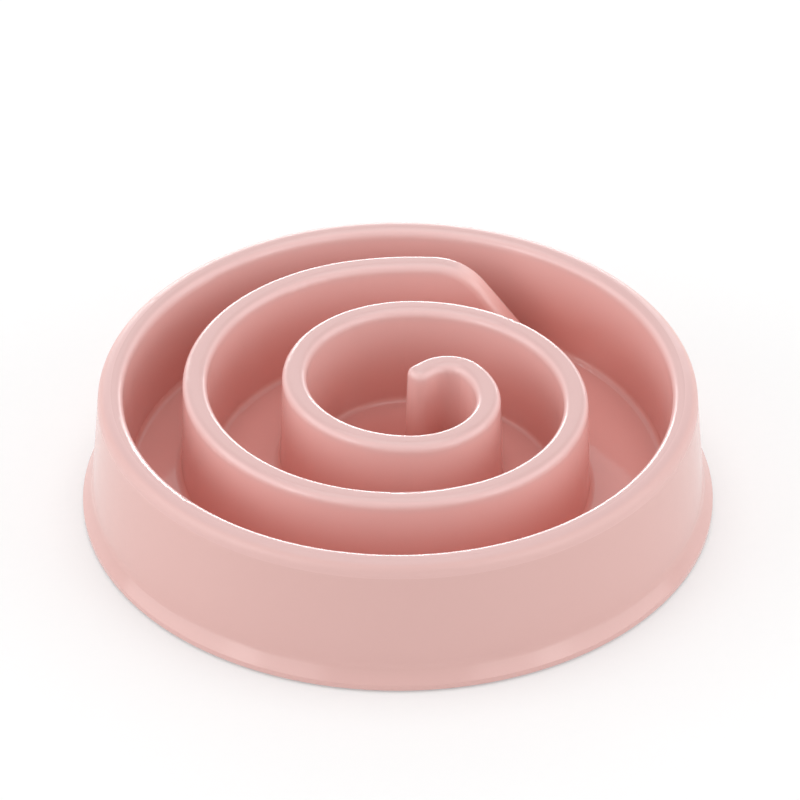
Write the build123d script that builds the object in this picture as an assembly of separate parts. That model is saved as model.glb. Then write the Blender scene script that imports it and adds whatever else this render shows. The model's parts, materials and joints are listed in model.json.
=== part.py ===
from build123d import *
import os
from math import cos, pi, radians, sin, tan

# Slow feeder bowl: one hollow plastic moulding with a spiral rib, on four rubber feet.
# Sizes are in millimetres, Z is up and the feet stand on Z = 0.

# Overall form
base_diameter = 200.0
moulding_height = 42.3
foot_proud = 0.6
wall = 2.2
draft_angle = 2.0

# Flared foot of the outer wall
lip_height = 1.7
lip_round = 0.5
flare_height = 6.5
flare_run = 3.1
flare_blend = 5.0

# Rim and floor
wall_lean = 3.3
rim_width = 7.45
rim_flat = 0.6
rim_inner_round = 3.05
floor_height = 8.0
floor_round = 2.0

# Spiral rib: a straight run, tangent arcs that open out clockwise, then a straight tail.
# The plan is drawn round the bowl's axis and scaled to leave the end gap at the inner wall.
rib_width = 7.5
rib_end_gap = 7.3
rib_edge_round = 2.9
rib_corner_margin = 0.3
rib_end_flat = 0.1
rib_core_round = 0.5
rib_start = (4.3, 6.0)
rib_start_heading = 41.0
rib_runs = (7.1, 6.5)
rib_radii = (9.25, 24.1, 36.65, 50.7, 63.7, 91.0)
rib_sweeps = (91.8, 128.4, 177.2, 161.0, 190.6, 32.7)

# Ramp at the outer end of the rib
ramp_slope = 49.6
ramp_top_round = 20.8
ramp_nose_height = 6.5

# Rubber feet and the bosses that hold them
foot_diameter = 14.0
foot_edge_bevel = 0.6
foot_stem_diameter = 7.6
foot_stem_clearance = 0.15
foot_stem_end_gap = 1.0
foot_inset = 22.5
boss_recess = 1.2

# Levels and radii that follow from the sizes above
base_z = foot_proud
rim_z = base_z + moulding_height
floor_z = base_z + floor_height
under_z = floor_z - wall
boss_z = base_z + boss_recess
base_r = base_diameter / 2
flare_z = base_z + flare_height
flare_r = base_r - flare_run
rim_r = flare_r - wall_lean
rim_outer_round = rim_width - rim_flat - rim_inner_round
rib_end_round = min(rib_edge_round + rib_corner_margin, (rib_width - rib_end_flat) / 2)
foot_stem_length = under_z - boss_z - foot_stem_end_gap
slope = tan(radians(draft_angle))
outer_slope = wall_lean / (rim_z - flare_z)


def outer_r(z):
    """Radius of the outer wall's face at a height."""
    return rim_r + outer_slope * (rim_z - z)


def inner_r(z):
    """Radius of the inner wall's face at a height."""
    return rim_r - rim_width - slope * (rim_z - z)


def revolved(points, rounds):
    """Body of revolution from a half section, with a round at each listed corner."""
    section = Polyline(*points, close=True)
    face = make_face(section)
    for corner, radius in rounds:
        spot = Vector(*points[corner])
        vertex = face.vertices().sort_by_distance(spot)[0]
        face = fillet(vertex, radius)
    return revolve(Plane.XZ * face, Axis.Z)


def outer_form():
    """Flared foot, outer wall, rim, inner wall and floor, still filled underneath."""
    points = [
        (0, base_z),
        (base_r, base_z),
        (base_r, base_z + lip_height),
        (flare_r, flare_z),
        (rim_r, rim_z),
        (rim_r - rim_width, rim_z),
        (inner_r(floor_z), floor_z),
        (0, floor_z),
    ]
    rounds = [
        (2, lip_round),
        (3, flare_blend),
        (4, rim_outer_round),
        (5, rim_inner_round),
        (6, floor_round),
    ]
    return revolved(points, rounds)


def rib_side(scale, offset, grow):
    """One long side of the rib in plan, left of its centre line by an offset, with grown ends."""
    heading = radians(rib_start_heading)
    along = Vector(cos(heading), sin(heading))
    left = Vector(-sin(heading), cos(heading))
    start = Vector(*rib_start) * scale + left * offset - along * grow
    first_run, last_run = rib_runs
    edges = [Line(start, start + along * (first_run * scale + grow))]
    for radius, sweep in zip(rib_radii, rib_sweeps):
        edges.append(JernArc(edges[-1] @ 1, edges[-1] % 1, radius * scale + offset, -sweep))
    corner = edges[-1] @ 1
    edges.append(Line(corner, corner + (edges[-1] % 1) * (last_run * scale + grow)))
    return edges


def rib_scale():
    """Scale of the drawn plan that leaves the end gap between the rib's outer end and the inner wall."""
    drawn_reach = (rib_side(1, 0, 0)[-1] @ 1).length
    return (inner_r(rim_z) - rib_end_gap - rib_width / 2) / drawn_reach


def rib_outline(grow, corner_round):
    """Plan of the rib, grown all round: two long sides and square ends with rounded corners."""
    half = rib_width / 2 + grow
    left = rib_side(rib_scale(), half, grow)
    right = rib_side(rib_scale(), -half, grow)
    ends = [Line(left[0] @ 0, right[0] @ 0), Line(left[-1] @ 1, right[-1] @ 1)]
    face = make_face(Curve() + left + right + ends)
    corners = [left[0] @ 0, right[0] @ 0, left[-1] @ 1, right[-1] @ 1]
    vertices = [face.vertices().sort_by_distance(corner)[0] for corner in corners]
    return fillet(vertices, corner_round)


def ramp_cutter(drop):
    """Everything above the ramp that brings the outer end of the rib down, lowered by a drop."""
    centre_line = rib_side(rib_scale(), 0, 0)
    end = centre_line[-1] @ 1
    rise = moulding_height - floor_height - ramp_nose_height
    run = rise / tan(radians(ramp_slope))
    half_turn = run / (rib_radii[-1] * rib_scale()) / 2
    back = -(centre_line[-1] % 1).rotate(Axis.Z, 180 * half_turn / pi)
    side = Plane(origin=end, x_dir=back, z_dir=back.cross(Vector(0, 0, 1)))
    fall = drop / cos(radians(ramp_slope))
    nose_z = floor_z + ramp_nose_height - fall
    top_z = rim_z - drop
    top_u = (top_z - nose_z) / tan(radians(ramp_slope))
    reach = 2 * rib_width
    points = [
        (-reach, nose_z - reach * tan(radians(ramp_slope))),
        (top_u, top_z),
        (top_u + 2 * reach, top_z),
        (top_u + 2 * reach, top_z + 2 * reach),
        (-reach, top_z + 2 * reach),
    ]
    face = make_face(Polyline(*points, close=True))
    crest = face.vertices().sort_by_distance(Vector(*points[1]))[0]
    face = fillet(crest, ramp_top_round - drop)
    return extrude(side * face, rib_width + 1, both=True)


def rib_form(grow, corner_round, bottom_z, top_z):
    """Rib with drafted sides from a bottom level up to its top, grown all round at the rim's level."""
    plans = []
    for z in (bottom_z, top_z):
        spread = slope * (rim_z - z)
        plans.append(Pos(0, 0, z) * rib_outline(grow + spread, corner_round + spread))
    return loft(plans, ruled=True) - ramp_cutter(rim_z - top_z)


def crest_edges(rib):
    """Edges all round the top of the rib, down its ramp and over its nose."""
    crest = [face for face in rib.faces() if face.normal_at().Z > 0.5]
    edges = [edge for face in crest for edge in face.edges()]
    return [edge for edge in edges if sum(edge.is_same(other) for other in edges) == 1]


def under_core():
    """Hollow under the moulding: the gap between its two walls and the space below the floor."""
    below = base_z - wall
    gap_z = rim_z - wall
    outer_foot = base_r - wall
    points = [
        (0, below),
        (outer_foot, below),
        (outer_foot, base_z + lip_height),
        (outer_r(flare_z) - wall, flare_z),
        (outer_r(gap_z) - wall, gap_z),
        (inner_r(gap_z) + wall, gap_z),
        (inner_r(under_z) + wall, under_z),
        (0, under_z),
    ]
    return revolved(points, [])


def foot_places():
    """Centres of the four feet, named by the corner they stand at."""
    side = (base_r - foot_inset) * cos(radians(45))
    names = ("rear_right", "rear_left", "front_left", "front_right")
    spots = ((side, side), (-side, side), (-side, -side), (side, -side))
    return dict(zip(names, spots))


def bosses():
    """Round bosses under the floor, each with a blind hole for a foot's stem."""
    hole = foot_stem_diameter + 2 * foot_stem_clearance
    upright = (Align.CENTER, Align.CENTER, Align.MIN)
    post = Cylinder(foot_diameter / 2, under_z - boss_z + wall / 2, align=upright)
    boss = post - Cylinder(hole / 2, under_z - boss_z, align=upright)
    return [Pos(*spot, boss_z) * boss for spot in foot_places().values()]


def bowl_body():
    """The whole moulding: outer form and rib, hollowed from below, with its bosses."""
    rib = rib_form(0, rib_end_round, floor_z - wall / 2, rim_z)
    rib = fillet(crest_edges(rib), rib_edge_round)
    form = outer_form() + rib
    floor = form.faces().filter_by(Plane.XY).sort_by_distance(Vector(0, 0, floor_z))[0]
    form = fillet(floor.inner_wires()[0].edges(), floor_round)
    form = form - under_core() - rib_form(-wall, rib_core_round, base_z - wall, rim_z - wall)
    for boss in bosses():
        form = form + boss
    return form


def foot():
    """Rubber foot: a round pad under its boss and a stem up the boss's hole."""
    upright = (Align.CENTER, Align.CENTER, Align.MIN)
    pad = Cylinder(foot_diameter / 2, boss_z, align=upright)
    pad = chamfer(pad.edges().group_by(Axis.Z)[0], foot_edge_bevel)
    stem = Pos(0, 0, boss_z) * Cylinder(foot_stem_diameter / 2, foot_stem_length, align=upright)
    return pad + stem


os.makedirs("parts", exist_ok=True)
export_step(bowl_body(), "parts/bowl_body.step")
for name, spot in foot_places().items():
    export_step(Pos(*spot, 0) * foot(), f"parts/foot_{name}.step")
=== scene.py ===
# %% [markdown]
# # A slow feeder bowl in gloss pink plastic
# A slow feeder is a pet bowl with a maze in it, so that the food has to be nosed out bit by bit.
# This one is a single hollow moulding: a flared outer wall, a rounded rim and a spiral rib that
# stands as high as the rim. The shapes come ready made from the packed solids, so this lesson is
# about what makes a plain moulding look real: its finish, its light and its camera.

# %% Load the packed solids
import json
import math

import bpy
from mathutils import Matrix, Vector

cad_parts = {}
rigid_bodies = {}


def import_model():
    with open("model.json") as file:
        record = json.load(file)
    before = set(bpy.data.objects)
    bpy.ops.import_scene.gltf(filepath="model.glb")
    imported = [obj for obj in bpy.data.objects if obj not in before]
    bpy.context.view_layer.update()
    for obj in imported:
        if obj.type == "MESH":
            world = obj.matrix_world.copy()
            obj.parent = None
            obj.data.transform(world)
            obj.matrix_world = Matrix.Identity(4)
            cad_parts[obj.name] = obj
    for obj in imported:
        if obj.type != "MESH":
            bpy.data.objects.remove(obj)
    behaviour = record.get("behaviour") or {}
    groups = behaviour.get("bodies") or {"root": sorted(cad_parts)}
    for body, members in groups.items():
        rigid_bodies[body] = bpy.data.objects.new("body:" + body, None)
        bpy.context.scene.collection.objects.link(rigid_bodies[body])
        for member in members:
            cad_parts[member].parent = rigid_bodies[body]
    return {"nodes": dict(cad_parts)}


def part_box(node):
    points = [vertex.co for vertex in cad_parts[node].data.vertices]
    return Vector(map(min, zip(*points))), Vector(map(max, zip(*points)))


for leftover in list(bpy.data.objects):
    bpy.data.objects.remove(leftover)
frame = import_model()
bowl = frame["nodes"]["bowl_body"]
feet = [node for name, node in frame["nodes"].items() if name.startswith("foot_")]
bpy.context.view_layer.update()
print("bowl faces", len(bowl.data.polygons), "feet", len(feet))

# %% [markdown]
# ## Shader sums as plain Python
# A finish is a small calculation: a bit of noise, scaled, kept to the rim, added to a roughness.
# It could be wired by hand in the node editor, but a written sum is easier to read and to change.
# The class below wraps one socket. Adding or multiplying two of them adds the Math node that does
# it, and every other kind of node comes from the one method `node`.


# %% A socket that takes part in sums
class Wire:
    """An output socket of a node tree, or the bare tree where the socket is None."""

    def __init__(self, tree, socket=None):
        self.tree = tree
        self.socket = socket

    def node(self, kind, settings, sockets, out=0):
        """Adds a node: its settings first, then the values or wires of its sockets."""
        made = self.tree.nodes.new(kind)
        for name, value in settings.items():
            setattr(made, name, value)
        for name, value in sockets.items():
            if isinstance(value, Wire):
                self.tree.links.new(value.socket, made.inputs[name])
            else:
                made.inputs[name].default_value = value
        return Wire(self.tree, made.outputs[out] if len(made.outputs) else None)

    def math(self, operation, first, second):
        """Adds a Math node that works on two numbers or wires."""
        return self.node("ShaderNodeMath", {"operation": operation}, {0: first, 1: second})

    def __add__(self, other):
        return self.math("ADD", self, other)

    def __sub__(self, other):
        return self.math("SUBTRACT", self, other)

    def __rsub__(self, other):
        return self.math("SUBTRACT", other, self)

    def __mul__(self, other):
        return self.math("MULTIPLY", self, other)

    __radd__ = __add__
    __rmul__ = __mul__

    def smooth(self, low, high):
        """A mask that rises softly from 0 at one value to 1 at another."""
        settings = {"interpolation_type": "SMOOTHSTEP"}
        sockets = {"Value": self, "From Min": low, "From Max": high}
        return self.node("ShaderNodeMapRange", settings, sockets)


print("sums", [name for name in vars(Wire) if name.endswith(("add__", "sub__", "mul__"))])

# %% [markdown]
# ## Colours and the end of a finish
# The finishes of the bowl and its feet end alike, in one shader with a colour, a roughness and a
# surface. Colours are written as a screen shows them, because that is how a maker picks them, and
# are turned into the linear values that light is worked out in. They mix in a Mix node: a Math node
# would turn a colour grey. A Mix node has sockets for every kind of value, so the colour ones are
# told by their numbers.

# %% Helpers for finishes
mix_share = 0
mix_first = 6
mix_second = 7
mix_result = 2
white = (1.0, 1.0, 1.0, 1.0)
moulded_ior = 1.5


def finish(name):
    """An empty material and the start of its sums."""
    material = bpy.data.materials.new(name)
    material.use_nodes = True
    material.node_tree.nodes.clear()
    return material, Wire(material.node_tree)


def srgb(red, green, blue):
    """A colour as a screen shows it, 0 to 255, in linear values, by the curve that screens use."""
    values = [v / 255 for v in (red, green, blue)]
    return tuple(v / 12.92 if v < 0.04045 else ((v + 0.055) / 1.055) ** 2.4 for v in values) + (1.0,)


def blend(share, first, second):
    """One colour turning into another as the share goes from 0 to 1."""
    sockets = {mix_share: share, mix_first: first, mix_second: second}
    return share.node("ShaderNodeMix", {"data_type": "RGBA"}, sockets, out=mix_result)


def end_finish(start, colour, roughness, surface):
    """The shader of a moulded piece, wired to the material's output."""
    sockets = {"Base Color": colour, "Roughness": roughness, "Normal": surface, "IOR": moulded_ior}
    shader = start.node("ShaderNodeBsdfPrincipled", {}, sockets)
    start.node("ShaderNodeOutputMaterial", {}, {"Surface": shader})


print("mid grey in linear light", round(srgb(128, 128, 128)[0], 3))

# %% [markdown]
# ## Where things are on the bowl
# Wear and sheen follow the shape: hands dull the rim, noses and kibble scuff the floor, and the
# flared foot slides on tiles. Painted maps could say where, but every place here can be told from
# its height, its distance from the middle and the way it faces, so the masks are worked out from
# those, in metres.


# %% Places on an object
def object_position(start):
    """The place on the object itself."""
    return start.node("ShaderNodeTexCoord", {}, {}, out="Object")


def height_at(position):
    """Height of a place."""
    return position.node("ShaderNodeSeparateXYZ", {}, {"Vector": position}, out="Z")


def radius_at(position):
    """Distance of a place from the upright axis."""
    sockets = {0: position, 1: (1, 1, 0)}
    flat = position.node("ShaderNodeVectorMath", {"operation": "MULTIPLY"}, sockets)
    return flat.node("ShaderNodeVectorMath", {"operation": "LENGTH"}, {0: flat}, out="Value")


def upward_facing(start):
    """1 where the surface faces up, 0 on an upright wall, -1 where it faces down."""
    normal = start.node("ShaderNodeNewGeometry", {}, {}, out="Normal")
    return start.node("ShaderNodeSeparateXYZ", {}, {"Vector": normal}, out="Z")


def noise(position, scale, detail=2.0, roughness=0.5):
    """Soft random patches, about 1 / scale metres across, from 0 to 1."""
    settings = {"noise_dimensions": "3D"}
    sockets = {"Vector": position, "Scale": scale, "Detail": detail, "Roughness": roughness}
    return position.node("ShaderNodeTexNoise", settings, sockets)


print("places by", [place.__name__ for place in (height_at, radius_at, upward_facing)])

# %% Levels and radii of the bowl
mm = 0.001
rim_inset = 6.4 * mm
rim_width = 7.45 * mm
channel_floor = 8.6 * mm

bowl_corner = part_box("bowl_body")[1]
rim_top = bowl_corner.z
foot_reach = bowl_corner.x
rim_outside = foot_reach - rim_inset
rim_inside = rim_outside - rim_width
print("rim height", round(rim_top, 4), "radii", round(rim_inside, 4), round(rim_outside, 4))

# %% [markdown]
# ## Gloss pink plastic
# The bowl is coloured all through and polished by its mould. A single pink with one gloss would do
# from afar. Close to, a moulding shows a slight unevenness of pigment, the faint ripple that
# makers call orange peel, hairline scuffs where it is handled, and a satin face underneath where
# the mould is not polished. Each is one short sum here, and each stays small.

# %% Zones of the moulding
bowl_plastic, start = finish("bowl_plastic_finish")
position = object_position(start)
height = height_at(position)
radius = radius_at(position)
facing = upward_facing(start)

# Each pair is where a mask begins to rise and where it is full.
crest_heights = (rim_top - 2.9 * mm, rim_top - 0.1 * mm)
edge_heights = (rim_top - 5.9 * mm, rim_top - 3.4 * mm)
edge_radii = (rim_outside - 4.4 * mm, rim_outside - 3.1 * mm)
foot_heights = (3.0 * mm, 7.5 * mm)
foot_radii = (foot_reach - 4.5 * mm, foot_reach - 1.5 * mm)
floor_heights = (channel_floor + 0.2 * mm, channel_floor + 3.4 * mm)
floor_radii = (rim_inside - 2.15 * mm, rim_inside + 0.85 * mm)
middle_heights = (channel_floor + 0.4 * mm, channel_floor + 11.4 * mm)
middle_radii = (20.0 * mm, 40.0 * mm)
floor_facing = (0.60, 0.95)
under_facing = (0.20, 0.70)

crest = height.smooth(*crest_heights)
outer_edge = radius.smooth(*edge_radii) * height.smooth(*edge_heights)
foot_edge = (1 - height.smooth(*foot_heights)) * radius.smooth(*foot_radii)
low = 1 - height.smooth(*floor_heights)
channel = low * facing.smooth(*floor_facing) * (1 - radius.smooth(*floor_radii))
# The middle of the floor, where shade is painted into the pink.
middle = (1 - radius.smooth(*middle_radii)) * (1 - height.smooth(*middle_heights))
below = (-1 * facing).smooth(*under_facing)
print("crest from", round(crest_heights[0], 4), "foot from radius", round(foot_radii[0], 4))

# %% Uneven pigment and hairline scuffs
hair_stretch = (1.0, 7.0, 1.0)
hair_range = (0.60, 0.72)

pigment = noise(position, scale=22.0, detail=3.0)
speckle = noise(position, scale=1400.0, detail=1.0)
mapping = {"Vector": position, "Scale": hair_stretch}
stretched = start.node("ShaderNodeMapping", {"vector_type": "POINT"}, mapping)
hairs = noise(stretched, scale=260.0, detail=4.0, roughness=0.65).smooth(*hair_range)
scuffs = hairs * (0.7 * crest + 0.8 * foot_edge + 0.9 * channel)
shade = 0.55 * pigment + 0.25 * speckle + 0.12 * scuffs
print("hairs stretched", hair_stretch)

# %% [markdown]
# ## One plastic, several near pinks
# Light that goes from wall to wall in a channel turns pinker at each bounce, and the deep channels get
# less light than the tops.
# Subsurface light could do part of that, at a price in noise and time. Here that light and shade is
# painted into the pink itself:
# painted shade low down, on the channel floors, in the middle and on the outer wall, painted light up
# the faces, a painted highlight on the upper rounds and the rim's outer round, and a greyer painted
# sheen on the crest. Most pinks have two tones, for rich and thin pigment, and are laid one over
# another.

# %% Pinks by zone, with painted light and shade
face_heights = (15.0 * mm, rim_top - 2.9 * mm)
round_heights = (rim_top - 5.4 * mm, rim_top - 0.4 * mm)
wall_radii = (rim_outside - 5.1 * mm, rim_outside - 0.6 * mm)
top_facing = (0.70, 0.97)
foot_wear = 0.3

painted_shade_floor_pink = blend(shade, srgb(223, 161, 154), srgb(227, 168, 161))
painted_shade_low_pink = blend(shade, srgb(230, 166, 157), srgb(234, 173, 164))
painted_light_face_pink = blend(shade, srgb(244, 196, 190), srgb(247, 202, 197))
painted_highlight_edge_pink = blend(shade, srgb(236, 197, 194), srgb(240, 203, 200))
painted_highlight_rim_pink = blend(shade, srgb(223, 180, 175), srgb(227, 186, 181))
painted_shade_wall_pink = blend(shade, srgb(218, 174, 168), srgb(222, 180, 174))
painted_sheen_crest_pink = blend(shade, srgb(217, 178, 175), srgb(221, 184, 181))
painted_shade_middle_pink = srgb(198, 127, 119)
worn_pink = srgb(232, 188, 183)

# Painted shade low down in the channels and painted light up the faces: darker towards the bottom,
# lighter towards the top.
pink = blend(height.smooth(*face_heights), painted_shade_low_pink, painted_light_face_pink)
# Painted shade on the channel floors: they are darker than the walls above them.
pink = blend(channel, pink, painted_shade_floor_pink)
# Painted shade in the middle of the floor, darker towards the centre.
pink = blend(middle, pink, painted_shade_middle_pink)
# Painted highlight: the upper rounds are lighter and greyer, standing for the soft glow of the light
# above.
pink = blend(height.smooth(*round_heights), pink, painted_highlight_edge_pink)
# The outer wall gets its own slightly deeper copy of the pink: painted shade to suit its light.
pink = blend(radius.smooth(*wall_radii), pink, painted_shade_wall_pink)
pink = blend(foot_wear * foot_edge, pink, worn_pink)
# Painted highlight on the rim's outer round, lighter than the wall below it.
pink = blend(outer_edge, pink, painted_highlight_rim_pink)
# Painted sheen: the crest's flat top is greyer, standing for a cool reflection of the light above.
pink = blend(crest * facing.smooth(*top_facing), pink, painted_sheen_crest_pink)
print("pink made of", len(bowl_plastic.node_tree.nodes), "nodes so far")

# %% [markdown]
# ## Gloss, ripple and smooth rounds
# The polish is highest on the channel floor, which mirrors the walls, and lowest underneath and on
# the rim's outer edge, where hands wear it. The rounds of a packed solid are many thin triangles,
# some of which shade a little askew, so a highlight on them breaks up into specks. A finer mesh
# would cure that, but the solids stay as they are. So a Bevel node averages the direction of the
# surface over a millimetre or two on the upper rounds, and the ripple is a bump on top of it. The
# foot's lip is left crisp.

# %% Gloss and surface of the plastic
polish = 0.14
uneven = 0.04 * noise(position, scale=70.0)
handled = 0.03 * crest + 0.10 * scuffs
satin = 0.24 * below + 0.22 * outer_edge
mirror = 0.10 * channel
gloss = polish + uneven + handled + satin - mirror

upper_heights = (30.0 * mm, 36.0 * mm)
rim_radii = (rim_inside - 2.65 * mm, rim_inside - 0.65 * mm)
rib_smoothing = 1.2 * mm
rim_smoothing = 2.04 * mm
bevel_samples = 16
smoothing = rib_smoothing + (rim_smoothing - rib_smoothing) * radius.smooth(*rim_radii)
smoothing = smoothing * height.smooth(*upper_heights)
rounded = start.node("ShaderNodeBevel", {"samples": bevel_samples}, {"Radius": smoothing})

ripple = noise(position, scale=330.0, detail=1.0) + 0.25 * speckle
ripple_sockets = {"Strength": 0.035, "Distance": 0.6 * mm, "Height": ripple, "Normal": rounded}
surface = start.node("ShaderNodeBump", {}, ripple_sockets)
end_finish(start, pink, gloss, surface)
bowl.material_slots[0].material = bowl_plastic
print("plastic nodes", len(bowl_plastic.node_tree.nodes))

# %% [markdown]
# ## Rubber feet
# Four pale rubber pads under the floor keep the bowl from sliding. Rubber is matt, a little
# mottled with dust, and greyer where it rubs on the floor. The same few sums give it a dry look.

# %% The rubber's finish
foot_rubber, start = finish("foot_rubber_finish")
position = object_position(start)
sole_facing = (0.50, 0.95)
grime_range = (0.35, 0.75)
clean_grey = srgb(206, 206, 203)
dirty_grey = srgb(176, 174, 170)

sole = (-1 * upward_facing(start)).smooth(*sole_facing)
dust = noise(position, scale=420.0, detail=4.0, roughness=0.6)
grime = sole * noise(position, scale=900.0, detail=3.0).smooth(*grime_range)
grey = blend(0.6 * dust + 0.5 * grime, clean_grey, dirty_grey)
dry = 0.62 + 0.18 * dust
grain_sockets = {"Strength": 0.25, "Distance": 0.2 * mm, "Height": dust}
grain = start.node("ShaderNodeBump", {}, grain_sockets)
end_finish(start, grey, dry, grain)
for foot in feet:
    foot.material_slots[0].material = foot_rubber
print("rubber nodes", len(foot_rubber.node_tree.nodes))

# %% [markdown]
# ## A white floor that keeps a soft shadow
# Product pictures stand on seamless white paper, with a shadow that hardly shows. Lamps strong
# enough to wash the shadow out would also burn out the bowl. So a share of the paper glows at exactly
# white where the camera or a mirror image looks at it. The rest is plain diffuse paper, which keeps
# the shadow, and to all other light the whole sheet is that. It lies a hair below the feet, so that
# the two don't share a plane.

# %% Paper floor
paper, start = finish("white_paper")
glow_share = 0.275
ray_kinds = ("Is Camera Ray", "Is Glossy Ray", "Is Transmission Ray")
fibre_grey = (0.93, 0.93, 0.93, 1.0)
pulp_grey = (0.95, 0.95, 0.95, 1.0)
rays = [start.node("ShaderNodeLightPath", {}, {}, out=kind) for kind in ray_kinds]
seen = start.math("MINIMUM", rays[0] + rays[1] + rays[2], 1.0)
tone = blend(noise(object_position(start), scale=300.0), fibre_grey, pulp_grey)
matt = start.node("ShaderNodeBsdfDiffuse", {}, {"Color": tone})
glow = start.node("ShaderNodeEmission", {}, {"Color": white, "Strength": 1.0})
sheet = start.node("ShaderNodeMixShader", {}, {0: glow_share * seen, 1: matt, 2: glow})
start.node("ShaderNodeOutputMaterial", {}, {"Surface": sheet})

floor_half = 3.0
floor_z = -0.2 * mm
sides = [(-1, -1), (1, -1), (1, 1), (-1, 1)]
corners = [(floor_half * x, floor_half * y, floor_z) for x, y in sides]
floor_mesh = bpy.data.meshes.new("paper_floor")
floor_mesh.from_pydata(corners, [], [(0, 1, 2, 3)])
floor = bpy.data.objects.new("paper_floor", floor_mesh)
bpy.context.collection.objects.link(floor)
floor.data.materials.append(paper)
print("floor", floor.dimensions[:])

# %% [markdown]
# ## Soft light all round
# The picture has almost no hard shadow, and each rounded edge shows where a lamp stands. A white
# surround fills in from everywhere, a panel overhead gives the soft glow on the near rounds, and a
# panel on each side lights the walls. White strokes on the far edges mirror a low strip behind the
# bowl. A strip strong enough for them would burn out the back of the bowl, so a card stands before
# it that shows in the gloss alone, and two more such cards draw the pale bands on the flared foot.
# One bright lamp would be simpler, but it would burn out the tops and leave the channels black.
# Each lamp stays at a plain level, so that the pink renders about as it is written.

# %% Surround
world = bpy.data.worlds.new("white_surround")
bpy.context.scene.world = world
world.use_nodes = True
world.node_tree.nodes.clear()
start = Wire(world.node_tree)
surround = 0.69
sky = start.node("ShaderNodeBackground", {}, {"Color": white, "Strength": surround})
start.node("ShaderNodeOutputWorld", {}, {"Surface": sky})
print("surround", surround)


# %% Light panels
def panel(name, place, width, height, power, card=False):
    """A soft rectangle of light that faces the middle of the bowl. A card shows in the gloss alone."""
    lamp = bpy.data.lights.new(name, "AREA")
    lamp.shape = "RECTANGLE"
    lamp.size = width
    lamp.size_y = height
    lamp.energy = power
    holder = bpy.data.objects.new(name, lamp)
    holder.location = place
    holder.rotation_euler = holder.location.to_track_quat("Z", "Y").to_euler()
    holder.visible_diffuse = not card
    bpy.context.collection.objects.link(holder)
    return holder


panels = [
    panel("back_card", (-0.08, 1.60, 0.24), width=1.1, height=0.34, power=8.0, card=True),
    panel("back_strip", (0.0, 1.62, 0.24), width=2.2, height=0.34, power=5.8),
    panel("back_high", (0.0, 1.25, 0.98), width=1.2, height=0.5, power=0.8),
    panel("overhead", (0.0, 0.18, 1.35), width=1.1, height=0.9, power=4.4),
    panel("left", (-1.37, -0.38, 0.55), width=1.5, height=0.9, power=7.1),
    panel("right", (1.37, -0.38, 0.55), width=1.5, height=0.9, power=5.9),
    panel("left_card", (-1.00, -1.12, 0.66), width=0.9, height=0.7, power=2.4, card=True),
    panel("right_card", (1.00, -1.12, 0.66), width=0.9, height=0.7, power=2.4, card=True),
]
print("panels", [(lamp.name, lamp.data.energy) for lamp in panels])

# %% [markdown]
# ## Camera
# The bowl is seen from a little above, through a long lens: the rim and the base are nearly the
# same ellipse, which a near camera would not give. Height, distance and lens come from fitting
# those two ellipses, so the bowl lands where it is in the picture with no shift of the frame.

# %% Long lens, 36 degrees above the floor
sensor_mm = 36.0
lens_mm = 205.05
camera_place = (0.00067, -1.1612, 0.8695)
camera_tilt_degrees = 54.34
far_limit = 20.0

camera_data = bpy.data.cameras.new("picture_camera")
camera_data.sensor_width = sensor_mm
camera_data.lens = lens_mm
camera_data.clip_end = far_limit
camera = bpy.data.objects.new("picture_camera", camera_data)
camera.location = camera_place
camera.rotation_euler = (math.radians(camera_tilt_degrees), 0.0, 0.0)
bpy.context.collection.objects.link(camera)
bpy.context.scene.camera = camera
bpy.context.scene.view_settings.view_transform = "Standard"
print("lens", camera_data.lens)

# %% [markdown]
